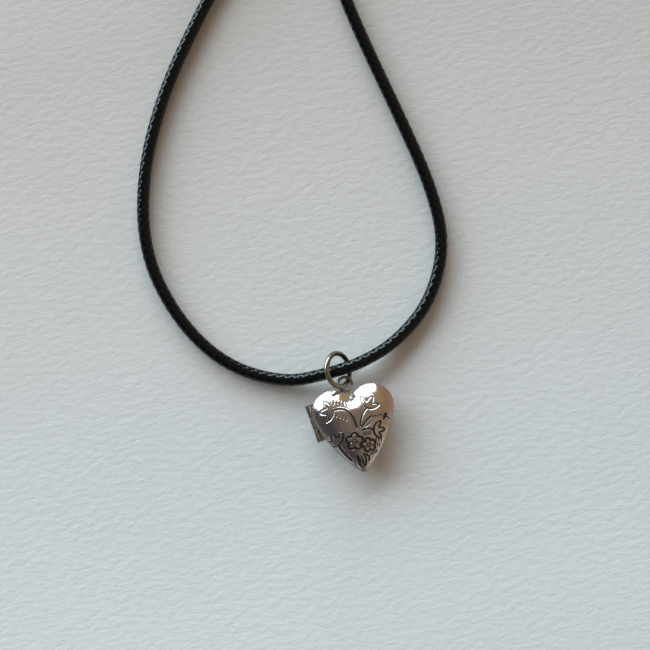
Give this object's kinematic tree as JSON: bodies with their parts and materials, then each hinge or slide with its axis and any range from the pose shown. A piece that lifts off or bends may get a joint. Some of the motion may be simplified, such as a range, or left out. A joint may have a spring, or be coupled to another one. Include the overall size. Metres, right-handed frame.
{
  "type": "heart locket on a cord",
  "caption": "Hinged heart locket in darkened silver with an engraved floral spray, hung by a jump ring on a black waxed braided cord with a lobster clasp.",
  "frame": {"origin": "centre of the flat pad under the back cover, on which the locket lies", "axes": "+Z out of the front cover, +Y from the heart's tip to its eyelet, +X away from the hinge"},
  "size_m": [0.0539, 0.1233, 0.0051],
  "materials": {
    "silver": "polished darkened silver plate with black in the engraved lines",
    "frame_metal": "satin silver plate",
    "hinge_metal": "satin darkened silver plate",
    "gunmetal": "polished gunmetal plate",
    "window": "clear plastic film",
    "cord": "waxed fine braid, glossy"
  },
  "bodies": {
    "cord": {"cord_strand": "cord", "cord_coil": "cord", "cord_tail": "cord", "cord_end_a": "gunmetal", "cord_end_b": "gunmetal"},
    "jump_ring": {"jump_ring": "gunmetal"},
    "back": {"back_cover": "silver", "back_photo_frame": "frame_metal", "back_window": "window", "hinge_knuckle_upper": "hinge_metal", "hinge_knuckle_lower": "hinge_metal", "hinge_pin": "hinge_metal", "bail_eyelet": "gunmetal", "catch_keeper": "hinge_metal"},
    "front": {"front_cover": "silver", "front_photo_frame": "frame_metal", "front_window": "window", "hinge_knuckle_middle": "hinge_metal", "catch_tongue": "hinge_metal"},
    "clasp_link": {"clasp_ring": "gunmetal"},
    "clasp": {"clasp_body": "gunmetal", "clasp_rivet": "hinge_metal", "clasp_spring": "hinge_metal"},
    "lever": {"clasp_lever": "gunmetal"},
    "end_link": {"end_ring": "gunmetal"}
  },
  "joints": [
    {"name": "locket_lift", "type": "hinge", "parent": "cord", "child": "jump_ring", "pos_m": [-0.00015, 0.00985, 0.0024], "axis": [-0.993, -0.1178, 0], "range_deg": [0, 170]},
    {"name": "pendant_swing", "type": "hinge", "parent": "jump_ring", "child": "back", "pos_m": [-0.00052, 0.0073, 0.00205], "axis": [0, 0, 1], "range_deg": [-15, 15]},
    {"name": "cover_hinge", "type": "hinge", "parent": "back", "child": "front", "pos_m": [-0.00655, 0.00215, 0.0024], "axis": [0.1483, -0.9889, 0], "range_deg": [0, 175]},
    {"name": "clasp_ring_swing", "type": "hinge", "parent": "cord", "child": "clasp_link", "pos_m": [0.01557, 0.10403, 0.0014], "axis": [0, 0, 1], "range_deg": [-35, 35]},
    {"name": "clasp_swing", "type": "hinge", "parent": "clasp_link", "child": "clasp", "pos_m": [0.01759, 0.10679, 0.0013], "axis": [0, 0, 1], "range_deg": [-35, 35]},
    {"name": "lever_press", "type": "hinge", "parent": "clasp", "child": "lever", "pos_m": [0.01965, 0.11111, 0.0013], "axis": [0, 0, -1], "range_deg": [0, 15], "stiffness_Nm_per_rad": 0.0002, "springref_deg": -11.46},
    {"name": "end_ring_swing", "type": "hinge", "parent": "cord", "child": "end_link", "pos_m": [0.01904, 0.09166, 0.0014], "axis": [0, 0, 1], "range_deg": [-45, 45]}
  ]
}
